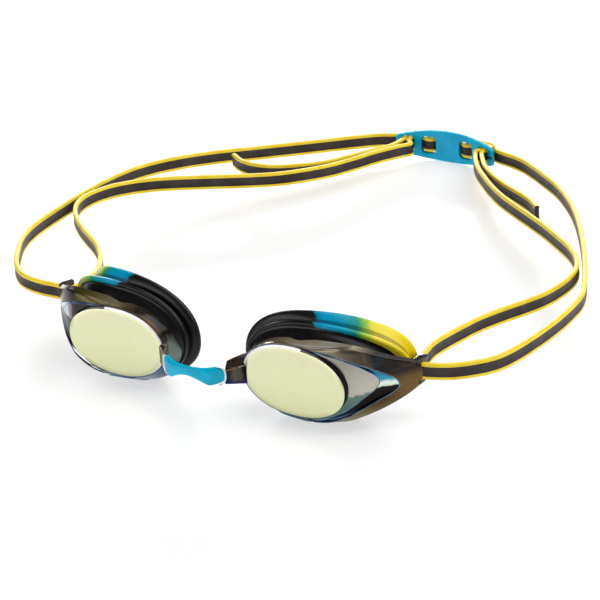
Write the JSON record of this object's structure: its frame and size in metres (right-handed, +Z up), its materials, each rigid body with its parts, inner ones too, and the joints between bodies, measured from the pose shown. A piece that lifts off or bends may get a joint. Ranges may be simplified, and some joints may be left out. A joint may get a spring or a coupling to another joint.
{
  "type": "swim goggles",
  "caption": "Low-profile racing swim goggles with mirrored oval lenses, soft eye seals, a flexible nose bridge, and a flat double strap with a rear clip.",
  "frame": {"origin": "bottom centre of the box round the goggles as they stand, with the gaskets' lower edges and the rear clip on z = 0", "axes": "+Z up, -Y out through the lenses, away from the wearer's face, +X towards the wearer's left"},
  "size_m": [0.2464, 0.2749, 0.0398],
  "materials": {
    "mirror_lens": "gold mirror coating on hard clear plastic",
    "smoke_shell": "glossy smoke-tinted plastic with a faint coloured sheen",
    "seal_rubber": "glossy black soft rubber",
    "bridge_plastic": "semi-gloss cyan",
    "clip_plastic": "semi-gloss cyan",
    "strap_silicone": "satin dark silicone with yellow edges"
  },
  "bodies": {
    "bridge": {"nose_bridge": "bridge_plastic"},
    "left_cup": {"left_eyecup": "smoke_shell", "left_lens": "mirror_lens", "left_gasket": "seal_rubber", "left_strap_loop": "strap_silicone", "left_outer_lead": "strap_silicone", "left_inner_lead": "strap_silicone"},
    "right_cup": {"right_eyecup": "smoke_shell", "right_lens": "mirror_lens", "right_gasket": "seal_rubber", "right_strap_loop": "strap_silicone", "right_outer_lead": "strap_silicone", "right_inner_lead": "strap_silicone"},
    "strap": {"back_band": "strap_silicone", "left_front_band": "strap_silicone", "right_front_band": "strap_silicone", "rear_clip": "clip_plastic"}
  },
  "joints": [
    {"name": "left_cup_flex", "type": "hinge", "parent": "bridge", "child": "left_cup", "pos_m": [0.0305, -0.1323, 0.0188], "axis": [0, 0, 1], "range_deg": [-6, 12], "stiffness_Nm_per_rad": 0.04, "deforming": ["left_outer_lead", "left_inner_lead"]},
    {"name": "right_cup_flex", "type": "hinge", "parent": "bridge", "child": "right_cup", "pos_m": [0.0079, -0.1323, 0.0188], "axis": [0, 0, -1], "range_deg": [-6, 12], "stiffness_Nm_per_rad": 0.04, "deforming": ["right_outer_lead", "right_inner_lead"]},
    {"name": "strap_lift", "type": "hinge", "parent": "bridge", "child": "strap", "pos_m": [0.0192, -0.0781, 0.01997], "axis": [1, 0, 0], "range_deg": [0, 60]}
  ]
}
